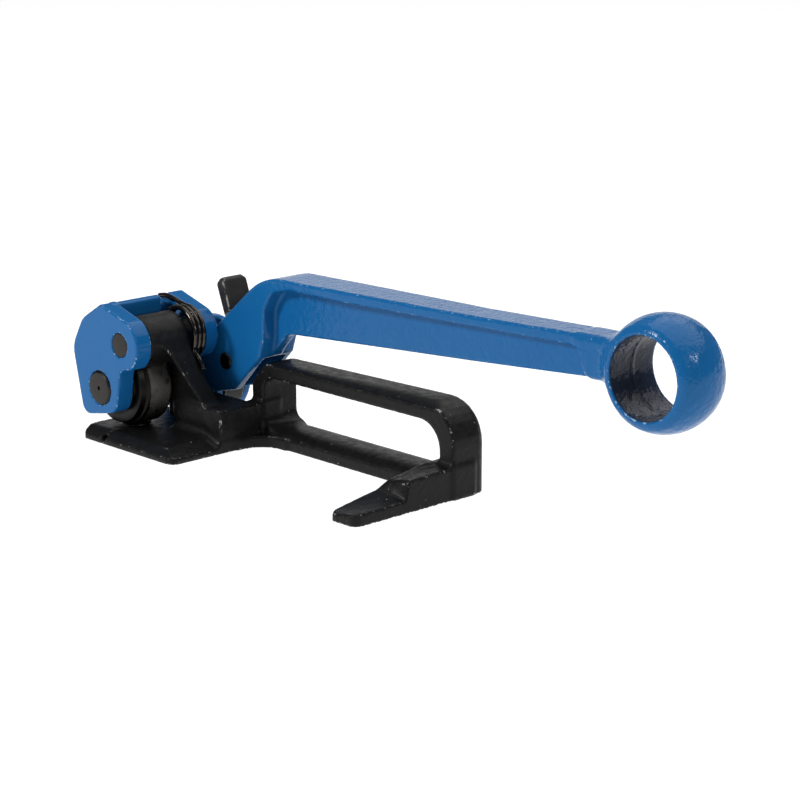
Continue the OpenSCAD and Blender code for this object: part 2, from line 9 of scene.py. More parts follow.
import bmesh
import bpy
import numpy as np
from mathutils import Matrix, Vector


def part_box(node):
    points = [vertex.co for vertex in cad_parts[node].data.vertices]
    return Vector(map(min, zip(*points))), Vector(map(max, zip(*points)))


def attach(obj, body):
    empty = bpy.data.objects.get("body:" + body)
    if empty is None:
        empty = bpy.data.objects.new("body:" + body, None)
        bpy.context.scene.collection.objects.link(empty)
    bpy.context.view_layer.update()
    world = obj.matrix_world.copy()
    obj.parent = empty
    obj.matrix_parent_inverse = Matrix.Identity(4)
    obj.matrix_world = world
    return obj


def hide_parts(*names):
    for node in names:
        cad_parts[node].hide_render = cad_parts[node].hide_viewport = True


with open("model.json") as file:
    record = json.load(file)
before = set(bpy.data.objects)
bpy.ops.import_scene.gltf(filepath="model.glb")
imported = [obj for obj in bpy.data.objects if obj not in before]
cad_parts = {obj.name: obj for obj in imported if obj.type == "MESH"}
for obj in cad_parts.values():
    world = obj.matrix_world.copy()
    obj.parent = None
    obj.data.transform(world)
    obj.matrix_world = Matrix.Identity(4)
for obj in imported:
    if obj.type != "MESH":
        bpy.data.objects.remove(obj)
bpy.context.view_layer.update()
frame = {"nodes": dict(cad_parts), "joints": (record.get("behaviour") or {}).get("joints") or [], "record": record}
MM = 0.001

# Places taken from the frame ------------------------------------------------------------


def box_mm(node):
    """The lowest and highest corners of a node, in millimetres."""
    low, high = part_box(node)
    return np.array(low) / MM, np.array(high) / MM


JOINT_AT = {j["name"]: np.array(j["pos_m"]) / MM for j in frame["joints"]}
SHAFT = JOINT_AT["lever_swing"]
PIVOT = JOINT_AT["carrier_lift"]
PAWL = JOINT_AT["drive_pawl_release"]
HOLD = JOINT_AT["holding_pawl_lift"]

BASE_LOW, BASE_HIGH = box_mm("base_casting")
CARRIER_LOW, CARRIER_HIGH = box_mm("carrier_frame")
LEVER_LOW, LEVER_HIGH = box_mm("lever_handle")
WHEEL_LOW, WHEEL_HIGH = box_mm("feed_wheel")
PLUG_LOW, PLUG_HIGH = box_mm("gripper_plug")
SHAFT_LOW, SHAFT_HIGH = box_mm("feed_shaft")
PIN_LOW, PIN_HIGH = box_mm("pivot_pin")
PAWL_LOW, PAWL_HIGH = box_mm("drive_pawl")
PAWL_PIN_LOW, PAWL_PIN_HIGH = box_mm("drive_pawl_pin")

# Distances --------------------------------------------------------------------------------
# A shape is a function of x, y and z that gives the distance to its surface, negative inside.


def meet(a, b, r):
    """What two shapes share, its edge rounded with radius r: a circle's arc joins the two faces."""
    return np.minimum(-r, np.maximum(a, b)) + np.hypot(np.maximum(a + r, 0), np.maximum(b + r, 0))


def join(a, b, r):
    """Two shapes together, with a hollow fillet of radius r where they meet."""
    return -meet(-a, -b, r)


def cut(a, b, r):
    """The first shape without the second, the new edge rounded with radius r."""
    return meet(a, -b, r)


def slab(v, low, high):
    """Distance to the space between two parallel faces."""
    return np.maximum(low - v, v - high)


def left_of(a, b, start, end):
    """Distance in a plane from the straight line start to end, positive on the line's left."""
    da, db = end[0] - start[0], end[1] - start[1]
    return (da * (b - start[1]) - db * (a - start[0])) / math.hypot(da, db)


def rounded(corners, steps=8):
    """An outline from corners (a, b, radius): each corner gives way to an arc that touches both its sides."""
    points = []
    for i, (a, b, r) in enumerate(corners):
        here = np.array((a, b))
        back = np.array(corners[i - 1][:2]) - here
        ahead = np.array(corners[(i + 1) % len(corners)][:2]) - here
        back, ahead = back / np.hypot(*back), ahead / np.hypot(*ahead)
        if r == 0:
            points.append(here)
            continue
        half = math.acos(float(np.clip(back @ ahead, -1, 1))) / 2
        middle = here + (back + ahead) / np.hypot(*(back + ahead)) * r / math.sin(half)
        first, last = (here + side * r / math.tan(half) - middle for side in (back, ahead))
        start = math.atan2(first[1], first[0])
        turn = math.remainder(math.atan2(last[1], last[0]) - start, 2 * math.pi)
        angles = start + turn * np.linspace(0, 1, steps + 1)
        points.extend(middle + r * np.stack([np.cos(angles), np.sin(angles)], 1))
    return np.array(points)


def arc(middle, r, start, end, steps=24):
    """Sharp corners along a circle's arc, angles in degrees, for use among rounded corners."""
    angles = np.radians(np.linspace(start, end, steps + 1))
    return [(middle[0] + r * math.cos(t), middle[1] + r * math.sin(t), 0) for t in angles]


def inside_outline(a, b, points):
    """Distance to a closed outline.

    It is the distance to the nearest side, negative where a ray crosses an odd number of sides.
    """
    nearest = np.inf
    inside = np.zeros(np.broadcast(a, b).shape, bool)
    for (a0, b0), (a1, b1) in zip(points, np.roll(points, -1, 0)):
        da, db = a1 - a0, b1 - b0
        along = np.clip(((a - a0) * da + (b - b0) * db) / max(da * da + db * db, 1e-12), 0, 1)
        nearest = np.minimum(nearest, (a - a0 - da * along) ** 2 + (b - b0 - db * along) ** 2)
        if b0 != b1:
            inside ^= ((b0 > b) != (b1 > b)) & (a < a0 + (b - b0) * da / db)
    return np.where(inside, -1, 1) * np.sqrt(nearest)


def ramp(v, low, high):
    """A smooth step from 0 at low to 1 at high."""
    t = np.clip((v - low) / (high - low), 0, 1)
    return t * t * (3 - 2 * t)


def lumps(x, y, z, size):
    """Gentle unevenness between -1 and 1: three sets of crossed waves that never line up."""
    k = 2 * math.pi / size
    first = np.sin(k * (x + 0.31 * y)) * np.sin(k * (0.87 * y - 0.4 * z))
    first = first * np.sin(k * (0.93 * z + 0.22 * x) + 1)
    second = np.sin(1.7 * k * (0.6 * x - y) + 2) * np.sin(1.6 * k * (z + 0.5 * y))
    second = second * np.sin(1.5 * k * (x + 0.7 * z))
    third = np.sin(2.9 * k * (0.8 * x + 0.5 * z)) * np.sin(2.7 * k * (y - 0.6 * x) + 4)
    return 0.5 * first + 0.3 * second + 0.2 * third


# From distances to meshes ------------------------------------------------------------------


def slope(field, points, reach):
    """The field's gradient at points, from values a short reach to either side along X, Y and Z."""
    columns = []
    for axis in range(3):
        step = np.zeros(3)
        step[axis] = reach
        ahead, behind = points + step, points - step
        columns.append((field(*ahead.T) - field(*behind.T)) / (2 * reach))
    return np.stack(columns, 1)


def level_surface(field, low, high, step):
    """The field's zero surface as points and four-sided faces.

    One point stands in each grid cell that the surface passes through, at the mean of where it
    crosses the cell's edges. Each crossed grid edge gives one face between its four cells. The
    points then slide along the field's gradient until they lie on the surface.
    """
    axes = [np.arange(a - 2 * step, b + 3 * step, step) for a, b in zip(low, high)]
    x, y, z = axes[0][:, None, None], axes[1][None, :, None], axes[2][None, None, :]
    value = np.broadcast_to(field(x, y, z), [len(a) for a in axes]).astype(np.float32)
    inside = value < 0
    cells = tuple(n - 1 for n in value.shape)

    total = np.zeros(cells + (3,), np.float32)
    count = np.zeros(cells, np.int16)
    crossings = []
    for axis in range(3):
        near = [slice(None)] * 3
        far = [slice(None)] * 3
        near[axis], far[axis] = slice(0, -1), slice(1, None)
        a, b = value[tuple(near)], value[tuple(far)]
        crossed = inside[tuple(near)] != inside[tuple(far)]
        where = np.argwhere(crossed)
        crossings.append((where, inside[tuple(near)][crossed]))
        place = where.astype(np.float32)
        place[:, axis] += (a[crossed] / (a[crossed] - b[crossed]))
        u, v = [k for k in range(3) if k != axis]
        for du in (0, 1):
            for dv in (0, 1):
                cell = where.copy()
                cell[:, u] -= du
                cell[:, v] -= dv
                np.add.at(total, tuple(cell.T), place)
                np.add.at(count, tuple(cell.T), 1)

    used = count > 0
    number = np.full(cells, -1, np.int64)
    number[used] = np.arange(used.sum())
    points = total[used] / count[used][:, None] * step + np.array([a[0] for a in axes])

    faces = []
    for axis, (where, starts_inside) in enumerate(crossings):
        u, v = (axis + 1) % 3, (axis + 2) % 3
        ring = []
        for du, dv in ((1, 1), (0, 1), (0, 0), (1, 0)):
            cell = where.copy()
            cell[:, u] -= du
            cell[:, v] -= dv
            ring.append(number[tuple(cell.T)])
        ring = np.stack(ring, 1)
        faces.append(np.where(starts_inside[:, None], ring, ring[:, ::-1]))

    for _ in range(3):
        gradient = slope(field, points, 0.1)
        square = np.maximum((gradient**2).sum(1), 0.2)
        move = -gradient * (field(*points.T) / square)[:, None]
        points = points + np.clip(move, -0.7 * step, 0.7 * step)
    return points, np.concatenate(faces)


def grid_faces(rows, columns, closed_rows, closed_columns):
    """Four-sided faces of a grid of points, numbered row by row, that may close on itself both ways."""
    r = np.arange(rows if closed_rows else rows - 1)[:, None]
    c = np.arange(columns if closed_columns else columns - 1)[None, :]
    r1, c1 = (r + 1) % rows, (c + 1) % columns
    ring = [r * columns + c, r * columns + c1, r1 * columns + c1, r1 * columns + c]
    return np.stack([k.ravel() for k in np.broadcast_arrays(*ring)], 1)


def make_piece(name, points, faces, body, material, replaced=(), values=None):
    """A smooth mesh from points in millimetres. Values are per-point attributes for its finish."""
    mesh = bpy.data.meshes.new(name)
    mesh.vertices.add(len(points))
    mesh.vertices.foreach_set("co", (points * MM).astype(np.float32).ravel())
    sizes = [np.full(len(f), f.shape[1]) for f in faces]
    total = np.concatenate(sizes)
    mesh.loops.add(int(total.sum()))
    mesh.loops.foreach_set("vertex_index", np.concatenate([f.ravel() for f in faces]).astype(np.int32))
    mesh.polygons.add(len(total))
    mesh.polygons.foreach_set("loop_start", (np.cumsum(total) - total).astype(np.int32))
    mesh.polygons.foreach_set("use_smooth", np.ones(len(total), bool))
    mesh.update(calc_edges=True)
    mesh.validate()
    for key, value in (values or {}).items():
        layer = mesh.attributes.new(key, "FLOAT", "POINT")
        layer.data.foreach_set("value", value.astype(np.float32))
    mesh.materials.append(material)
    piece = bpy.data.objects.new(name, mesh)
    bpy.context.scene.collection.objects.link(piece)
    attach(piece, body)
    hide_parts(*replaced)
    return piece


def cast_piece(name, field, low, high, step, body, material, node):
    """A casting from its distance field. "edge" is how sharply the surface turns: 1 on a worn ridge."""
    points, faces = level_surface(field, low, high, step)
    reach = 1.2
    around = -6 * field(*points.T)
    for axis in range(3):
        shift = np.zeros(3)
        shift[axis] = reach
        around = around + field(*(points + shift).T) + field(*(points - shift).T)
    edge = np.clip(around / reach * 0.75, -1, 1)
    return make_piece(name, points, [faces], body, material, [node], {"edge": edge})


def turned(name, profile, at, body, material, node, around=96):
    """A turned piece about an axis along Y: profile (radius, y) from the front centre to the rear centre."""
    profile = np.array(profile, float)
    angle = np.linspace(0, 2 * math.pi, around, endpoint=False)
    rings = profile[1:-1]
    x = at[0] + rings[:, :1] * np.cos(angle)
    z = at[2] + rings[:, :1] * np.sin(angle)
    y = np.broadcast_to(rings[:, 1:], x.shape)
    points = np.stack([x, y, z], 2).reshape(-1, 3)
    walls = grid_faces(len(rings), around, False, True)
    ends = np.array([(at[0], profile[0, 1], at[2]), (at[0], profile[-1, 1], at[2])])
    k = np.arange(around)
    k1 = (k + 1) % around
    first, last = len(points), len(points) + 1
    offset = (len(rings) - 1) * around
    front = np.stack([np.full(around, first), k1, k], 1)
    rear = np.stack([np.full(around, last), offset + k, offset + k1], 1)
    points = np.concatenate([points, ends])
    piece = make_piece(name, points, [walls, front, rear], body, material, [node])
    fix_normals(piece)
    return piece


def lathe_steps(points, r=0.3, steps=4):
    """A turned profile whose inner corners are rounded with radius r, its two ends left on the axis."""
    corners = [(a, b, 0) for a, b in points[:1]] + [(a, b, r) for a, b in points[1:-1]] + [(*points[-1], 0)]
    return rounded(corners, steps)


def wire_piece(name, path, r, body, material, node, sides=14):
    """A round wire along a path: rings square to the path, carried along it without twist, and domed ends."""
    path = np.array(path, float)
    tangent = np.gradient(path, axis=0)
    tangent /= np.linalg.norm(tangent, axis=1)[:, None]
    normal = np.zeros_like(path)
    normal[0] = np.cross(tangent[0], (0.1, 1, 0.2))
    for i in range(1, len(path)):
        normal[i] = normal[i - 1] - tangent[i] * (normal[i - 1] @ tangent[i])
        normal[i] /= np.linalg.norm(normal[i])
    normal[0] /= np.linalg.norm(normal[0])
    side = np.cross(tangent, normal)
    turn = np.linspace(0, 2 * math.pi, sides, endpoint=False)
    dome = np.array([0.35, 0.75, 0.95])
    centre = np.concatenate([
        path[:1] - tangent[:1] * r * (1 - dome[:, None]) * 0.8,
        path,
        path[-1:] + tangent[-1:] * r * (1 - dome[::-1, None]) * 0.8])
    width = np.concatenate([dome, np.ones(len(path)), dome[::-1]]) * r
    spread = [np.concatenate([np.repeat(v[:1], 3, 0), v, np.repeat(v[-1:], 3, 0)]) for v in (normal, side)]
    points = centre[:, None] + width[:, None, None] * (
        np.cos(turn)[None, :, None] * spread[0][:, None] + np.sin(turn)[None, :, None] * spread[1][:, None])
    rows = len(centre)
    walls = grid_faces(rows, sides, False, True)
    k = np.arange(sides)
    points = points.reshape(-1, 3)
    caps = [k[::-1][None], ((rows - 1) * sides + k)[None]]
    piece = make_piece(name, points, [walls, *caps], body, material, [node])
    fix_normals(piece)
    return piece


def fix_normals(piece):
    """Turns every face of a closed mesh outwards."""
    data = bmesh.new()
    data.from_mesh(piece.data)
    bmesh.ops.recalc_face_normals(data, faces=data.faces)
    data.to_mesh(piece.data)
    data.free()


# Materials ---------------------------------------------------------------------------------


class Finish:
    """A Principled material with short calls for its pattern nodes. Patterns read Object coordinates."""

    def __init__(self, name, **constants):
        self.material = bpy.data.materials.new(name)
        self.material.use_nodes = True
        self.tree = self.material.node_tree
        self.shader = self.tree.nodes["Principled BSDF"]
        for socket, value in constants.items():
            self.shader.inputs[socket.replace("_", " ")].default_value = value
        self.place = self.tree.nodes.new("ShaderNodeTexCoord").outputs["Object"]

    def link(self, source, socket):
        self.tree.links.new(source, socket)

    def noise(self, scale, detail=3, roughness=0.5, stretch=None, distortion=0.0):
        node = self.tree.nodes.new("ShaderNodeTexNoise")
        node.inputs["Scale"].default_value = scale
        node.inputs["Detail"].default_value = detail
        node.inputs["Roughness"].default_value = roughness
        node.inputs["Distortion"].default_value = distortion
        place = self.place
        if stretch:
            mapping = self.tree.nodes.new("ShaderNodeMapping")
            mapping.inputs["Scale"].default_value = stretch
            self.link(place, mapping.inputs["Vector"])
            place = mapping.outputs["Vector"]
        self.link(place, node.inputs["Vector"])
        return node.outputs["Fac"]

    def cells(self, scale, feature="F1"):
        node = self.tree.nodes.new("ShaderNodeTexVoronoi")
        node.feature = feature
        node.inputs["Scale"].default_value = scale
        self.link(self.place, node.inputs["Vector"])
        return node.outputs["Distance"]

    def attribute(self, name):
        node = self.tree.nodes.new("ShaderNodeAttribute")
        node.attribute_name = name
        return node.outputs["Fac"]

    def along(self):
        """How far along the tool a point lies, in metres."""
        node = self.tree.nodes.new("ShaderNodeSeparateXYZ")
        self.link(self.place, node.inputs["Vector"])
        return node.outputs["X"]

    def ramp(self, source, low, high, from_value=0.0, to_value=1.0, smooth=True):
        node = self.tree.nodes.new("ShaderNodeMapRange")
        node.interpolation_type = "SMOOTHSTEP" if smooth else "LINEAR"
        node.inputs["From Min"].default_value = low
        node.inputs["From Max"].default_value = high
        node.inputs["To Min"].default_value = from_value
        node.inputs["To Max"].default_value = to_value
        self.link(source, node.inputs["Value"])
        return node.outputs["Result"]

    def math(self, kind, a, b):
        node = self.tree.nodes.new("ShaderNodeMath")
        node.operation = kind
        for socket, value in zip(node.inputs, (a, b)):
            if isinstance(value, (int, float)):
                socket.default_value = value
            else:
                self.link(value, socket)
        return node.outputs["Value"]

    def blend(self, share, a, b):
        """Colour a where share is 0 and colour b where it is 1."""
        node = self.tree.nodes.new("ShaderNodeMix")
        node.data_type = "RGBA"
        self.link(share, node.inputs[0])
        for socket, value in zip((node.inputs[6], node.inputs[7]), (a, b)):
            if isinstance(value, tuple):
                socket.default_value = (*value, 1)
            else:
                self.link(value, socket)
        return node.outputs[2]

    def bump(self, *layers):
        """Layers are (height, distance in mm, strength), the broadest first."""
        normal = None
        for source, distance, strength in layers:
            node = self.tree.nodes.new("ShaderNodeBump")
            node.inputs["Strength"].default_value = strength
            node.inputs["Distance"].default_value = distance * MM
            self.link(source, node.inputs["Height"])
            if normal is not None:
                self.link(normal, node.inputs["Normal"])
            normal = node.outputs["Normal"]
        self.link(normal, self.shader.inputs["Normal"])


def black_paint():
    """Glossy black enamel over a sand casting: grain, shallow pits and bright specks on ridges."""
    f = Finish("black_paint", Specular_IOR_Level=0.14, IOR=1.5)
    grain = f.noise(900, 3, 0.6)
    coarse = f.noise(260, 3, 0.6)
    pits = f.ramp(f.cells(420), 0.02, 0.22)
    ridge, patches = f.ramp(f.attribute("edge"), 0.42, 0.95), f.ramp(f.noise(340, 4, 0.7), 0.57, 0.66)
    rub = f.math("MULTIPLY", ridge, patches)
    spots, areas = f.ramp(f.noise(520, 2, 0.5), 0.73, 0.77), f.ramp(f.noise(60, 2, 0.5), 0.5, 0.62)
    specks = f.math("MULTIPLY", spots, areas)
    worn = f.math("MAXIMUM", rub, specks)
    shade = f.blend(coarse, (0.0045, 0.0045, 0.005), (0.009, 0.0088, 0.0085))
    colour = f.blend(worn, shade, (0.42, 0.40, 0.38))
    f.link(colour, f.shader.inputs["Base Color"])
    f.link(f.ramp(coarse, 0.3, 0.7, 0.3, 0.46), f.shader.inputs["Roughness"])
    f.bump((coarse, 0.5, 0.5), (grain, 0.14, 0.4), (pits, 0.1, 0.25))
    return f.material


def blue_enamel():
    """Semi-gloss blue enamel: orange peel, a few pits and rubbed edges, and painted shade, a darker navy colour,
    on the rough bore in the ball.
    """
    f = Finish("blue_enamel", Specular_IOR_Level=0.17, IOR=1.5)
    peel = f.noise(330, 2, 0.5)
    fine = f.noise(1100, 2, 0.5)
    cloud = f.noise(30, 3, 0.5)
    pits = f.ramp(f.cells(140), 0.02, 0.07)
    ridge, patches = f.ramp(f.attribute("edge"), 0.6, 1.0), f.ramp(f.noise(420, 3, 0.6), 0.56, 0.63)
    rub = f.math("MULTIPLY", ridge, patches)
    spots, areas = f.ramp(f.noise(430, 2, 0.5), 0.755, 0.79), f.ramp(f.noise(50, 2, 0.5), 0.5, 0.6)
    specks = f.math("MULTIPLY", spots, areas)
    paint = f.blend(cloud, (0.0055, 0.098, 0.285), (0.0075, 0.112, 0.305))
    colour = f.blend(f.math("MAXIMUM", rub, specks), paint, (0.28, 0.42, 0.55))
    # Painted shade: the wall of the ball's bore takes a darker navy colour in place of the shade that falls inside
    # the hole.
    bore_painted_shade = f.blend(f.noise(500, 4, 0.65), (0.008, 0.013, 0.028), (0.026, 0.04, 0.075))
    f.link(f.blend(f.attribute("bore"), colour, bore_painted_shade), f.shader.inputs["Base Color"])
    f.link(f.ramp(peel, 0.3, 0.7, 0.13, 0.21), f.shader.inputs["Roughness"])
    cast_peel = f.math("MULTIPLY", peel, f.ramp(f.along(), 0.066, 0.082, 0.3, 1.0))
    f.bump((cast_peel, 0.6, 0.75), (fine, 0.06, 0.25), (pits, 0.12, 0.3))
    return f.material


def black_lever():
    """Satin black on the thumb lever, rubbed to bright metal along its long edge."""
    f = Finish("black_lever", Specular_IOR_Level=0.25, IOR=1.5)
    grain = f.noise(900, 3, 0.6)
    coarse = f.noise(210, 3, 0.5)
    rub = f.math("MULTIPLY", f.ramp(f.attribute("edge"), 0.5, 0.9), f.ramp(f.noise(300, 4, 0.7), 0.42, 0.6))
    shade = f.blend(coarse, (0.016, 0.0155, 0.015), (0.026, 0.025, 0.024))
    f.link(f.blend(rub, shade, (0.40, 0.38, 0.35)), f.shader.inputs["Base Color"])
    f.link(f.ramp(coarse, 0.3, 0.7, 0.40, 0.52), f.shader.inputs["Roughness"])
    f.bump((coarse, 0.3, 0.25), (grain, 0.1, 0.35))
    return f.material


def steel(name, dark, light, roughness, turned_scale=700, metallic=1.0):
    """Machined or blackened steel: fine tool marks, oil clouds and roughness that varies with them."""
    f = Finish(name, Metallic=metallic)
    marks = f.noise(turned_scale, 3, 0.6)
    cloud = f.noise(120, 4, 0.6)
    f.link(f.blend(cloud, dark, light), f.shader.inputs["Base Color"])
    f.link(f.ramp(cloud, 0.25, 0.75, roughness * 0.8, roughness * 1.25), f.shader.inputs["Roughness"])
    f.bump((cloud, 0.05, 0.3), (marks, 0.03, 0.35))
    return f.material


PAINTS = {
    "black_paint": black_paint(),
    "blue_enamel": blue_enamel(),
    "black_lever": black_lever(),
    "black_oxide": steel("black_oxide", (0.024, 0.023, 0.022), (0.044, 0.042, 0.040), 0.34),
    "bare_tool_steel": steel("bare_tool_steel", (0.17, 0.145, 0.12), (0.30, 0.26, 0.22), 0.42),
    "bright_steel": steel("bright_steel", (0.42, 0.41, 0.40), (0.60, 0.59, 0.58), 0.26),
    "bronze": steel("bronze", (0.36, 0.22, 0.10), (0.55, 0.36, 0.18), 0.36),
    "spring_steel": steel("spring_steel", (0.032, 0.029, 0.026), (0.075, 0.068, 0.06), 0.17),
}

# Base casting --------------------------------------------------------------------------------

LOOP_X1 = BASE_HIGH[0]
LOOP_Y1 = BASE_HIGH[1]
FOOT_X0 = BASE_LOW[0]
NOSE_Y = BASE_LOW[1]
FOOT_X1 = LOOP_X1 - 142.1
FOOT_Y0 = -23.1
FOOT_H = 7.2
GUIDE_Y = 9.8
BLOCK_X0 = 23.5
BLOCK_Y1 = 35.2
BLOCK_H = 23
LOOP_Y0 = LOOP_Y1 - 24
LOOP_H = 47
BOSS_R = 13.6
NECK_R = 8.9
BOSS_Y0, BOSS_Y1, NECK_Y1 = -11.1, 13.3, 23.2

PIVOT_BORE_R = 6.3
POCKET_R, POCKET_FLOOR = 7.5, 1.8
FOOT_EDGE_H = 3.2
BAR = 10.2

FOOT_PLAN = rounded([
    (FOOT_X0, FOOT_Y0, 4), (FOOT_X1, FOOT_Y0, 5), (FOOT_X1, BLOCK_Y1, 1), (FOOT_X0, BLOCK_Y1, 4)])
BLOCK_PLAN = rounded([
    (BLOCK_X0, GUIDE_Y, 1), (FOOT_X1, GUIDE_Y, 1.2), (FOOT_X1, BLOCK_Y1, 0.1), (BLOCK_X0, BLOCK_Y1, 3)])
LOOP_OUTER = rounded([
    (FOOT_X1 - 9, -20, 0), (LOOP_X1, -20, 3), (LOOP_X1, LOOP_H, 21), (FOOT_X1 + 1.2, LOOP_H - 2.6, 7),
    (FOOT_X1 - 9, 32.8, 6)])
LOOP_WINDOW = rounded([
    (FOOT_X1, BAR, 6), (LOOP_X1 - BAR, BAR, 9), (LOOP_X1 - BAR, LOOP_H - BAR, 14),
    (FOOT_X1, LOOP_H - BAR, 7)])
BLEND_R = 18
NOSE_W = 19.7
NOSE_X0 = LOOP_X1 - NOSE_W
NOSE_PLAN = rounded([
    (NOSE_X0, NOSE_Y + 4, 4), (NOSE_X0 + 3.5, NOSE_Y, 2.5), (LOOP_X1, NOSE_Y, 4), (LOOP_X1, LOOP_Y0 + 14, 0),
    (NOSE_X0 - 5, LOOP_Y0 + 14, 0), (NOSE_X0 - 5, LOOP_Y0 - 3, 4), (NOSE_X0, LOOP_Y0 - 14, 9)])


def foot_and_block(x, y, z):
    """The bevelled foot and the guide block, with a hollow fillet between them."""
    foot = meet(inside_outline(x, y, FOOT_PLAN), z - FOOT_H, 0.6)
    foot = meet(foot, left_of(y, z, (FOOT_Y0, FOOT_EDGE_H), (FOOT_Y0 + 6, FOOT_H)), 0.7)
    foot = meet(foot, left_of(x, z, (FOOT_X1 - 12.2, FOOT_H), (FOOT_X1, FOOT_EDGE_H)), 0.7)
    block = meet(inside_outline(x, y, BLOCK_PLAN), z - BLOCK_H, 1.3)
    return meet(join(foot, block, 4.5), x - FOOT_X1, 0.5)


def arm_and_boss(x, y, z):
    """The leaning arm, its front face ruled from the block out to a ridge, and the pivot boss."""
    rise = np.clip((z - 24.5) / 33.2, 0, 1.1)
    ridge_x, ridge_y = 46.5 - 15.5 * rise, 10.1 - 15.1 * rise
    edge_x, edge_y = BLOCK_X0 - 0.3, 10.1
    along_x, along_y = ridge_x - edge_x, ridge_y - edge_y
    front = -(along_x * (y - edge_y) - along_y * (x - edge_x)) / np.hypot(along_x, along_y)
    right = 0.902 * x + 0.431 * z - 52.55
    arm = meet(right, front, 0.7)
    arm = meet(arm, y - (13 + (60 - z) * 0.22), 2.2)
    arm = meet(arm, slab(z, 12, 60), 3)
    arm = meet(arm, 17.5 - x, 1)
    boss = meet(np.hypot(x - PIVOT[0], z - PIVOT[2]) - BOSS_R, slab(y, BOSS_Y0, BOSS_Y1), 0.9)
    neck = meet(np.hypot(x - PIVOT[0], z - PIVOT[2]) - NECK_R, slab(y, BOSS_Y1 - 3, NECK_Y1), 0.6)
    whole = join(join(arm, boss, 3), neck, 0.4)
    wheel_room = np.maximum(np.hypot(x + 1.02, z - SHAFT[2] - 0.7) - 24.4, y - GUIDE_Y)
    return cut(whole, wheel_room, 0.8)


def loop_crown(y):
    """Height of the upper bar's top: a crease at the front, then a crown that is flat towards the back."""
    return LOOP_H - 3.6 * np.clip((LOOP_Y0 + 13 - y) / 13, 0, 1) ** 1.8


def bar_crown(y):
    """Height of the lower bar's top: a rounded ridge, lower at both faces."""
    to_front = np.clip((LOOP_Y0 + 11 - y) / 11, 0, 1)
    to_rear = np.clip((y - LOOP_Y1 + 9) / 9, 0, 1)
    return 10.5 - 4.1 * to_front**1.7 - 3.5 * to_rear**2


def hand_loop(x, y, z):
    """The closed hand loop: outline, window and crowned bars."""
    ring = meet(inside_outline(x, z, LOOP_OUTER), z - loop_crown(y), 0.8)
    ring = meet(ring, LOOP_Y0 - y, 1.1)
    ring = meet(ring, y - LOOP_Y1, 7)
    over_bar = meet(meet(bar_crown(y) - z, z - 22, 4), slab(x, FOOT_X1 + 6, LOOP_X1 - 17), 5)
    window = join(inside_outline(x, z, LOOP_WINDOW), over_bar, 2)
    return cut(ring, window, 1.2)


def nose(x, y, z):
    """The nose: a thin tip whose top falls to the left, a rough step, and a thick root."""
    side = (LOOP_X1 - x) / NOSE_W
    tip = 6.4 + side * (5.6 * (y + 24) / 28 - 2.7)
    root = 16.4 + side * (1.4 - 5.4 * np.clip(LOOP_Y0 - 4 - y, 0, 24) / 24)
    step_at = 4 + 3 * (1 - side)
    top = tip + (root - tip) * ramp(y, step_at, step_at + 3 + 5 * side)
    rough = ramp(y, 2, 8) * (1 - 0.5 * ramp(y, 14, 24))
    top = top + rough * (0.35 * lumps(x, y, z, 6) + 0.2 * lumps(z, x, y, 2.6))
    body = meet(inside_outline(x, y, NOSE_PLAN), (z - top) * 0.85, 0.9)
    return meet(body, left_of(x, z, (NOSE_X0 + 5, 20), (NOSE_X0 - 1.2, 2.5)) * -1, 1.2)


def base_field(x, y, z):
    """The whole base, its parts blended together, with its holes and cast unevenness."""
    body = join(foot_and_block(x, y, z), arm_and_boss(x, y, z), 2.6)
    upright = meet(slab(y, BLOCK_Y1 - 2, LOOP_Y1 - 12), z - BLOCK_H, 1)
    upright = meet(slab(x, FOOT_X1 - 9, FOOT_X1), upright, 1)
    body = join(np.minimum(body, upright), hand_loop(x, y, z), 2.2)
    corner = np.maximum(slab(x, FOOT_X1 - 5, FOOT_X1 + BLEND_R), slab(y, LOOP_Y0 - BLEND_R, LOOP_Y0 + 5))
    corner = cut(corner, np.hypot(x - FOOT_X1 - BLEND_R, y - LOOP_Y0 + BLEND_R) - BLEND_R, 0.6)
    body = join(body, meet(corner, z - 6.3, 0.8), 3.4)
    body = join(body, nose(x, y, z), 3)
    body = body + 0.09 * lumps(x, y, z, 7) + 0.04 * lumps(y, z, x, 2.3)
    pocket = np.maximum(np.hypot(x, y - 2) - POCKET_R, POCKET_FLOOR - z)
    body = cut(body, pocket, 0.25)
    body = cut(body, np.maximum(np.hypot(x - 3, z - 3.4) - 2, y + 8), 0.2)
    body = cut(body, np.hypot(x - PIVOT[0], z - PIVOT[2]) - PIVOT_BORE_R, 0.2)
    return meet(body, -z, 0.5)


cast_piece("base_casting_finished", base_field, BASE_LOW, BASE_HIGH, 0.9, "base",
           PAINTS["black_paint"], "base_casting")

# Carrier -------------------------------------------------------------------------------------

CHEEK = rounded([
    (-15.2, 12.9, 6), (13.6, 18.6, 9), (15.6, 29, 4), (17.6, 42, 5), (23.4, 43.6, 3),
    *arc((PIVOT[0], PIVOT[2]), 14.7, -56, 62, 30), (2.2, 75.6, 3), (-14.4, 65.4, 12), (-23.6, 49.5, 14)])
BRIDGE_FOOT = [(-6, 62.5, 2), (-14.5, 61, 0.5), (-13.6, 65.4, 2)]
BRIDGE = rounded([*BRIDGE_FOOT, (1.9, 75.3, 1.5), (5, 74.4, 1.5), (5, 66.2, 1)])
LOW_BRIDGE = rounded([*BRIDGE_FOOT, (-2, 70, 2), (2.5, 69.6, 1), (2.5, 66, 1)])
FRONT_CHEEK = (CARRIER_LOW[1], CARRIER_LOW[1] + 10)
REAR_CHEEK = (CARRIER_HIGH[1] - 9.7, CARRIER_HIGH[1])


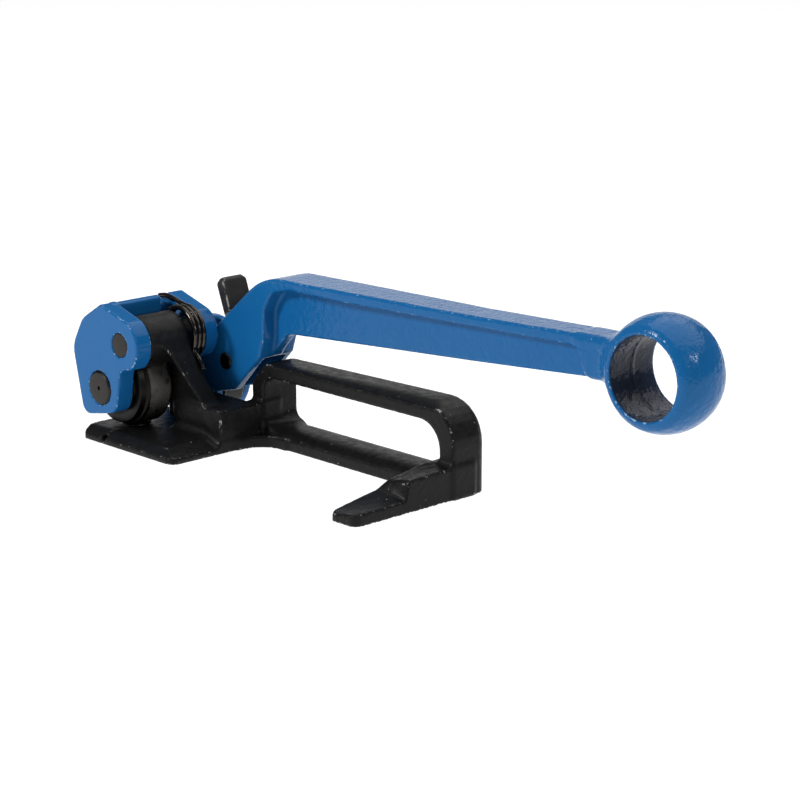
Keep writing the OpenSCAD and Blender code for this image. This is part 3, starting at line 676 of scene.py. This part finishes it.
def carrier_field(x, y, z):
    """Two cheeks of one outline and the bridge between them, lower at its rear for the spring."""
    outline = inside_outline(x, z, CHEEK)
    front = meet(outline, slab(y, *FRONT_CHEEK), 0.9)
    rear = meet(outline, slab(y, *REAR_CHEEK), 1.1)
    high = meet(inside_outline(x, z, BRIDGE), slab(y, FRONT_CHEEK[1] - 3, 16.8), 0.8)
    low = meet(inside_outline(x, z, LOW_BRIDGE), slab(y, 12, REAR_CHEEK[0] + 3), 0.6)
    body = join(join(front, high, 1.5), join(rear, low, 1.2), 1)
    body = body + 0.03 * lumps(x, y, z, 9)
    pin = np.hypot(x - PIVOT[0], z - PIVOT[2])
    body = cut(body, np.maximum(pin - 6.55, y - FRONT_CHEEK[1] - 1), 0.3)
    body = cut(body, np.maximum(pin - 6.05, FRONT_CHEEK[1] + 1 - y), 0.3)
    body = cut(body, np.maximum(pin - 8.4, REAR_CHEEK[1] - 1.4 - y), 0.2)
    shaft = np.hypot(x - SHAFT[0], z - SHAFT[2])
    body = cut(body, np.maximum(shaft - 9.3, y - FRONT_CHEEK[0] - 3), 0.3)
    body = cut(body, np.maximum(shaft - 11, FRONT_CHEEK[0] + 2 - y), 0.3)
    return cut(body, np.maximum(np.hypot(x - HOLD[0], z - HOLD[2]) - 3, 10 - y), 0.2)


cast_piece("carrier_frame_finished", carrier_field, CARRIER_LOW, CARRIER_HIGH, 0.6, "carrier",
           PAINTS["blue_enamel"], "carrier_frame")

# Lever ---------------------------------------------------------------------------------------

FORK_Y = (PAWL_PIN_LOW[1] + 1.4, PAWL_PIN_LOW[1] + 1.4 + 24.2)
MID_Y = sum(FORK_Y) / 2
SLOT_Y = (FORK_Y[0] + 5.2, FORK_Y[1] - 5.2)
BALL_R = 27.5
BALL = (LEVER_HIGH[0] - BALL_R, MID_Y, LEVER_HIGH[2] - BALL_R)
BALL_W = 31.4
EYE_R = 19.5
HUB_R = 28
LEG = rounded([
    *arc((SHAFT[0], SHAFT[2]), HUB_R, 50, 345, 60), (41.6, 26.4, 2), (62.6, 47.7, 2), (66, 58, 8),
    (66.6, 74, 10), (73, 84, 8), (86, 87.2, 8), (98, 87.5, 0), (98, 92, 0), (65.8, 91.9, 40)])
FORK_SLOT = rounded([
    (-40, -5, 0), (50, -5, 0), (60.5, 40, 0), (60.5, 56, 5), (47, 72, 8), (36, 100, 0), (-40, 100, 0)])
WEB = rounded([
    (60, 49, 0), (62.6, 47.7, 2), (76, 61.2, 8), (160, 67, 0), (210, 70.4, 0), (306, 77.6, 0), (306, 93, 0),
    (210, 91, 0), (86, 89, 0), (60, 86, 0)])
FLANGE = rounded([
    (82, 86.6, 0), (86, 87.2, 0), (126, 87.2, 0), (211, 89.4, 0), (275, 91, 0), (300, 91.5, 0), (306, 97, 0),
    (275, 96.6, 0), (211, 94.4, 0), (126, 92.8, 0), (96, 92.1, 0), (82, 91.95, 0)])
NECK = rounded([(286, 76.2, 6), (310, 77.6, 0), (310, 96.8, 0), (279, 95.8, 2)])


def ball_field(x, y, z):
    """The ball with its two flats and rounded rims. A thin seam runs round the middle of its bore."""
    out = np.hypot(x - BALL[0], z - BALL[2])
    ball = meet(np.hypot(out, y - BALL[1]) - BALL_R, np.abs(y - BALL[1]) - BALL_W / 2, 3)
    wander = 0.5 * np.sin(0.11 * x + 0.07 * z) + 0.25 * np.sin(0.31 * x - 0.2 * z)
    seam = 0.45 * np.exp(-(((y - BALL[1] - wander) / 0.8) ** 2))
    rough = 0.10 * lumps(x, y, z, 3.1) + 0.06 * lumps(y, z, x, 1.9)
    return ball, EYE_R - seam + rough - out


def lever_field(x, y, z):
    """The forked leg, the arm's web and flange, and the neck that swells into the ball."""
    off = np.abs(y - MID_Y)
    leg = meet(inside_outline(x, z, LEG), slab(y, *FORK_Y), 1.2)
    web = meet(inside_outline(x, z, WEB), off - 3.7, 1.2)
    half = np.interp(x, (98, 290), (12.1, 9))
    flange = meet(inside_outline(x, z, FLANGE), off - half, 1.2)
    neck = meet(inside_outline(x, z, NECK), off - 8.6, 3)
    arm = np.minimum(join(web, flange, 2.2), join(web, leg, 1.6))
    arm = join(arm, neck, 3.5)
    ball, eye = ball_field(x, y, z)
    body = join(arm, ball, 7)
    body = body + 0.05 * lumps(x, y, z, 8)
    body = meet(body, eye, 1.1)
    slot = meet(inside_outline(x, z, FORK_SLOT), slab(y, *SLOT_Y), 1)
    body = cut(body, slot, 0.7)
    body = cut(body, np.hypot(x - SHAFT[0], z - SHAFT[2]) - 11.5, 0.4)
    return cut(body, np.hypot(x - PAWL[0], z - PAWL[2]) - 3.65, 0.2)


lever = cast_piece("lever_handle_finished", lever_field, LEVER_LOW, LEVER_HIGH, 0.9, "lever",
                   PAINTS["blue_enamel"], "lever_handle")


def mark_bore(piece):
    """The attribute "bore": 1 on the wall of the ball's hole, where the paint takes a darker colour as painted
    shade.
    """
    count = len(piece.data.vertices)
    place = np.empty(count * 3, np.float32)
    piece.data.vertices.foreach_get("co", place)
    x, y, z = place.reshape(-1, 3).T / MM
    out = np.hypot(x - BALL[0], z - BALL[2])
    depth = BALL_W / 2 - np.abs(y - BALL[1])
    share = (1 - ramp(out, EYE_R + 0.1, EYE_R + 0.9)) * ramp(depth, 0.3, 1.6)
    layer = piece.data.attributes.new("bore", "FLOAT", "POINT")
    layer.data.foreach_set("value", share.astype(np.float32))


mark_bore(lever)

# Drive pawl ------------------------------------------------------------------------------------

DRIVE_R = 20
FACE_A = -45
PAWL_Y = (SLOT_Y[0] + 0.3, SLOT_Y[1] - 0.3)
TAIL = rounded([
    (PAWL[0] - 6.9, PAWL[2] - 1, 0), (PAWL[0] + 1, PAWL[2], 0), (PAWL[0] + 4, PAWL[2] + 5, 2),
    (37.9, 59, 8), (28.3, 85.6, 2.4), (22.7, 82.6, 2.4), (31.3, 60, 8)])
TAIL_FOOT, TAIL_TIP = (38, 59), (28.4, 84)
THUMB_W = 16.6


def on_shaft(r, a):
    """A point at radius r and angle a in degrees about the feed shaft, seen from the front."""
    return (SHAFT[0] + r * math.cos(math.radians(a)), SHAFT[2] + r * math.sin(math.radians(a)))


PAWL_NOSE = np.array([
    on_shaft(DRIVE_R - 2.1, FACE_A + 1.5), on_shaft(DRIVE_R + 4.5, FACE_A + 2),
    *[on_shaft(DRIVE_R + 9, a) for a in np.linspace(FACE_A + 12, 2, 9)],
    (PAWL[0] + 5, PAWL[2] - 4.6), (PAWL[0], PAWL[2]), (PAWL[0] - 6.6, PAWL[2] - 1.8),
    *[on_shaft(DRIVE_R + 0.9, a) for a in np.linspace(12, FACE_A + 13, 9)],
    on_shaft(DRIVE_R - 0.4, FACE_A + 9.5)])


def pawl_field(x, y, z):
    """Hub, nose and thumb tail of the drive pawl. Above the fork the tail is wider."""
    hub = np.hypot(x - PAWL[0], z - PAWL[2]) - 7
    tail = inside_outline(x, z, TAIL)
    body = meet(np.minimum(np.minimum(hub, inside_outline(x, z, PAWL_NOSE)), tail), slab(y, *PAWL_Y), 0.8)
    run = np.subtract(TAIL_TIP, TAIL_FOOT) / math.dist(TAIL_TIP, TAIL_FOOT)
    beyond_tip = (x - TAIL_TIP[0]) * run[0] + (z - TAIL_TIP[1]) * run[1] - 0.6
    below_fork = -left_of(x, z, (10, 46.4), (60, 89.3))
    thumb = meet(meet(np.abs(y - MID_Y) - THUMB_W / 2, beyond_tip, 3.2), below_fork, 0.8)
    body = join(body, meet(tail, thumb, 1.1), 0.5)
    body = body + 0.05 * lumps(x, y, z, 5)
    return cut(body, np.hypot(x - PAWL[0], z - PAWL[2]) - 3.7, 0.2)


cast_piece("drive_pawl_finished", pawl_field, PAWL_LOW, PAWL_HIGH, 0.5, "drive_pawl",
           PAINTS["black_lever"], "drive_pawl")

# Pins, shaft and wheel ---------------------------------------------------------------------------


def feed_shaft_profile():
    """Centre hole, chamfered end, and the groove for the circlip at the rear."""
    y0, y1, r = SHAFT_LOW[1], SHAFT_HIGH[1], 9
    clip = FORK_Y[1] + 1.3
    return lathe_steps([
        (0, y0 + 2), (1.1, y0 + 1.2), (1.1, y0 + 0.1), (1.4, y0), (r - 0.9, y0), (r, y0 + 0.9), (r, clip),
        (r - 0.7, clip), (r - 0.7, clip + 1.2), (r, clip + 1.2), (r, y1 - 0.9), (r - 0.9, y1), (1.4, y1),
        (1.1, y1 - 0.1), (1.1, y1 - 2), (0, y1 - 3)], 0.06)


def pivot_pin_profile():
    """A flush front disc with a small rounded rim, the shank, and the rear groove."""
    y0, y1, r = PIN_LOW[1], PIN_HIGH[1], 6
    clip = REAR_CHEEK[1] - 1.2
    return lathe_steps([
        (0, y0), (r + 0.1, y0), (r + 0.5, y0 + 0.4), (r + 0.5, FRONT_CHEEK[1]), (r, FRONT_CHEEK[1]),
        (r, clip), (r - 0.5, clip), (r - 0.5, clip + 1), (r, clip + 1),
        (r, y1 - 0.3), (r - 0.3, y1), (0, y1)], 0.1)


def pawl_pin_profile():
    """A low domed head, the shank and the rear groove."""
    y0, y1, r = PAWL_PIN_LOW[1], PAWL_PIN_HIGH[1], 3.6
    head = FORK_Y[0]
    clip = FORK_Y[1] + 0.2
    dome = [(4.6 * math.sin(t), y0 + 1.1 * (1 - math.cos(t))) for t in np.radians(np.linspace(8, 90, 8))]
    return lathe_steps([
        (0, y0), *dome, (4.6, head), (r, head),
        (r, clip), (r - 0.5, clip), (r - 0.5, clip + 1), (r, clip + 1),
        (r, y1 - 0.4), (r - 0.4, y1), (0, y1)], 0.05)


turned("feed_shaft_finished", feed_shaft_profile(), SHAFT, "feed_group",
       PAINTS["black_oxide"], "feed_shaft")
turned("pivot_pin_finished", pivot_pin_profile(), PIVOT, "carrier",
       PAINTS["black_oxide"], "pivot_pin")
turned("drive_pawl_pin_finished", pawl_pin_profile(), PAWL, "lever",
       PAINTS["black_oxide"], "drive_pawl_pin", 64)


def knurled_wheel():
    """The feed wheel: a smooth collar, then diamonds cut by two crossed sets of helical grooves.

    The radius falls by the groove's depth where either of two triangle waves, one leaning each
    way round the wheel, is near its low point. Near the wheel's edges the knurl fades out.
    """
    tip, collar, collar_y1 = 22.4, 20.6, -6.4
    starts, lean, depth = 84, 1.0, 0.55
    around, across = 504, 46
    angle = np.linspace(0, 2 * math.pi, around, endpoint=False)
    band = np.linspace(collar_y1 + 0.9, WHEEL_HIGH[1] - 0.9, across)
    turn = angle[None, :] * starts / (2 * math.pi)
    slide = band[:, None] * lean * starts / (2 * math.pi * tip)
    wave = [np.abs(((turn + s * slide) % 1) * 2 - 1) for s in (1, -1)]
    groove = np.minimum(np.minimum(wave[0], wave[1]) / 0.45, 1)
    fade = ramp(band, band[0], band[0] + 0.8) * (1 - ramp(band, band[-1] - 0.8, band[-1]))
    knurl = tip - depth * (1 - groove) * fade[:, None]
    y0, bore = WHEEL_LOW[1], 9.0
    front = [
        (bore, y0), (collar - 0.5, y0), (collar - 0.15, y0 + 0.15), (collar, y0 + 0.5),
        (collar, collar_y1 - 0.3), (collar + 0.1, collar_y1 - 0.05), (tip - 1, collar_y1),
        (tip - 0.3, collar_y1 + 0.25)]
    rear = [(tip - 0.3, WHEEL_HIGH[1] - 0.25), (tip - 1, WHEEL_HIGH[1]), (bore, WHEEL_HIGH[1])]
    plain = [np.repeat([[r] for r, _ in side], around, 1) for side in (front, rear)]
    radii = np.concatenate([plain[0], knurl, plain[1]])
    along = np.concatenate([[y for _, y in front], band, [y for _, y in rear]])
    x = SHAFT[0] + radii * np.cos(angle)
    z = SHAFT[2] + radii * np.sin(angle)
    y = np.broadcast_to(along[:, None], x.shape)
    points = np.stack([x, y, z], 2).reshape(-1, 3)
    worn = np.zeros(radii.shape)
    worn[len(front):len(front) + across] = groove**2 * fade[:, None]
    faces = grid_faces(len(along), around, True, True)
    return make_piece("feed_wheel_finished", points, [faces], "feed_group",
                      wheel_steel(), ["feed_wheel"], {"worn": worn.ravel()})


def wheel_steel():
    """Black oxide, rubbed brighter on the tops of the diamonds."""
    f = Finish("wheel_steel", Metallic=1.0)
    cloud = f.noise(150, 4, 0.6)
    dark = f.blend(cloud, (0.012, 0.0115, 0.011), (0.024, 0.023, 0.022))
    rubbed = f.math("MULTIPLY", f.attribute("worn"), f.ramp(f.noise(120, 3, 0.6), 0.3, 0.52))
    f.link(f.blend(rubbed, dark, (0.34, 0.325, 0.30)), f.shader.inputs["Base Color"])
    f.link(f.ramp(cloud, 0.25, 0.75, 0.3, 0.46), f.shader.inputs["Roughness"])
    f.bump((f.noise(900, 3, 0.6), 0.04, 0.4))
    return f.material


wheel = knurled_wheel()
fix_normals(wheel)


def serrated_plug():
    """The gripper plug: a disc on a grid of rings, its top cut by slanting saw teeth 0.9 mm apart."""
    radius = (PLUG_HIGH[0] - PLUG_LOW[0]) / 2
    centre = (PLUG_HIGH + PLUG_LOW) / 2
    around, rings = 240, 44
    angle = np.linspace(0, 2 * math.pi, around, endpoint=False)
    r = np.linspace(0.05, radius - 0.35, rings)[:, None]
    x, y = r * np.cos(angle), r * np.sin(angle)
    saw = ((x * 0.94 + y * 0.34) / 0.9) % 1
    top = PLUG_HIGH[2] - 0.32 * saw * np.ones_like(x)
    side_r = np.array([radius - 0.1, radius, radius])[:, None]
    side_z = np.array([PLUG_HIGH[2] - 0.25, PLUG_HIGH[2] - 0.5, PLUG_LOW[2]])[:, None]
    x = np.concatenate([x, side_r * np.cos(angle)]) + centre[0]
    y = np.concatenate([y, side_r * np.sin(angle)]) + centre[1]
    z = np.concatenate([top, side_z * np.ones((1, around))])
    points = np.stack([x, y, z], 2).reshape(-1, 3)
    walls = grid_faces(rings + 3, around, False, True)
    k = np.arange(around)
    caps = [k[None], ((rings + 2) * around + k[::-1])[None]]
    piece = make_piece("gripper_plug_finished", points, [walls, *caps], "base",
                       PAINTS["bare_tool_steel"], ["gripper_plug"])
    fix_normals(piece)


serrated_plug()

# Springs -------------------------------------------------------------------------------------------


def coil(at, r, y0, y1, start, turns, per_turn=48):
    """A helix about an axis along Y: the angle and the place along the axis both grow evenly."""
    share = np.linspace(0, 1, int(abs(turns) * per_turn) + 1)
    angle = np.radians(start) + 2 * math.pi * turns * share
    return np.stack([at[0] + r * np.cos(angle), y0 + (y1 - y0) * share, at[2] + r * np.sin(angle)], 1)


def smooth_path(points, steps=10):
    """A Catmull-Rom curve through the points."""
    p = np.array([2 * points[0] - points[1], *points, 2 * points[-1] - points[-2]], float)
    t = np.linspace(0, 1, steps, endpoint=False)[:, None]
    parts = []
    for a, b, c, d in zip(p[:-3], p[1:-2], p[2:-1], p[3:]):
        bend, twist = 2 * a - 5 * b + 4 * c - d, 3 * b - a - 3 * c + d
        parts.append(0.5 * (2 * b + (c - a) * t + bend * t**2 + twist * t**3))
    return np.concatenate([*parts, points[-1:]])


SPRING_AT = (21.2, 0, 57.1)
SPRING_R, WIRE_R = 14, 1.4


def carrier_spring_path():
    """A leg over the bridge, a coil that hangs on the boss's neck, and a leg down the arm."""
    y1 = REAR_CHEEK[0] - 0.3 - WIRE_R
    turns = coil(SPRING_AT, SPRING_R, y1, y1 - 6.65, 95, -7 / 3)
    lead = smooth_path(np.array([(-2.8, y1, 73.2), (3, y1, 74), (10, y1, 73), (15.5, y1, 71.7), turns[0]]))
    tail = smooth_path(np.array([
        turns[-1], (34.6, 15.5, 49.2), (36.2, 15.9, 47.2), (38.4, 16, 45), (40.5, 16, 41.1)]))
    return np.concatenate([lead[:-1], turns, tail[1:]])


wire_piece("carrier_spring_finished", carrier_spring_path(), WIRE_R, "base",
           PAINTS["spring_steel"], "carrier_spring")

# Every other node keeps its shape and takes its slot's finish ------------------------------------------

SLOT_OF = {s["node"]: s["material_slot"] for s in frame["record"]["subparts"]}
for node_name, node in frame["nodes"].items():
    if not node.hide_render:
        node.data.materials.clear()
        node.data.materials.append(PAINTS[SLOT_OF[node_name]])

# Floor, light and camera ---------------------------------------------------------------------------------


def floor():
    """A wide, plain, pale floor just under the sole."""
    size = 6.0
    corners = np.array([(-size, -size, 0), (size, -size, 0), (size, size, 0), (-size, size, 0)])
    mesh = bpy.data.meshes.new("floor")
    mesh.from_pydata(corners.tolist(), [], [(0, 1, 2, 3)])
    material = bpy.data.materials.new("floor_paper")
    material.use_nodes = True
    shader = material.node_tree.nodes["Principled BSDF"]
    shader.inputs["Base Color"].default_value = (0.3, 0.3, 0.3, 1)
    shader.inputs["Roughness"].default_value = 1.0
    shader.inputs["Specular IOR Level"].default_value = 0.0
    shader.inputs["Emission Color"].default_value = (1, 1, 1, 1)
    shader.inputs["Emission Strength"].default_value = 0.92
    mesh.materials.append(material)
    piece = bpy.data.objects.new("floor", mesh)
    bpy.context.scene.collection.objects.link(piece)


def soft_box(name, place, target, width, height, power, colour=(1, 1, 1)):
    """A rectangular light that faces a target."""
    data = bpy.data.lights.new(name, "AREA")
    data.shape = "RECTANGLE"
    data.size, data.size_y = width, height
    data.energy = power
    data.color = colour
    lamp = bpy.data.objects.new(name, data)
    lamp.location = place
    lamp.rotation_euler = (Vector(target) - Vector(place)).to_track_quat("-Z", "Y").to_euler()
    bpy.context.scene.collection.objects.link(lamp)


def studio():
    """Dim room light, a key, a broad light overhead, a panel behind, a fill and a small window."""
    world = bpy.data.worlds.new("studio")
    world.use_nodes = True
    world.node_tree.nodes["Background"].inputs["Color"].default_value = (1, 1, 1, 1)
    world.node_tree.nodes["Background"].inputs["Strength"].default_value = 0.14
    bpy.context.scene.world = world
    middle = (0.12, 0.0, 0.04)
    soft_box("key", (-0.35, -1.3, 0.9), middle, 0.35, 0.35, 17)
    soft_box("overhead", (0.2, 0.5, 1.5), middle, 2.2, 2.2, 26)
    soft_box("back_panel", (-1.6, 1.7, 0.55), middle, 2.4, 0.9, 5)
    soft_box("fill", (1.5, -0.15, 0.7), middle, 0.4, 0.6, 0.7)
    soft_box("window", (1.22, 0.29, 0.67), (0.327, 0.048, 0.085), 0.13, 0.13, 1.6)


def camera():
    """A long lens from the front right, a little above the tool."""
    azimuth, elevation, distance = math.radians(46.3), math.radians(14.6), 1.271
    target = Vector((0.09168, 0.10996, 0.01702))
    level = math.cos(elevation)
    away = Vector((math.sin(azimuth) * level, -math.cos(azimuth) * level, math.sin(elevation)))
    data = bpy.data.cameras.new("camera")
    data.sensor_width = 36
    data.lens = 106.02
    view = bpy.data.objects.new("camera", data)
    view.location = target + away * distance
    view.rotation_euler = (-away).to_track_quat("-Z", "Y").to_euler()
    bpy.context.scene.collection.objects.link(view)
    bpy.context.scene.camera = view


floor()
studio()
camera()

bpy.context.scene.view_settings.view_transform = "Standard"
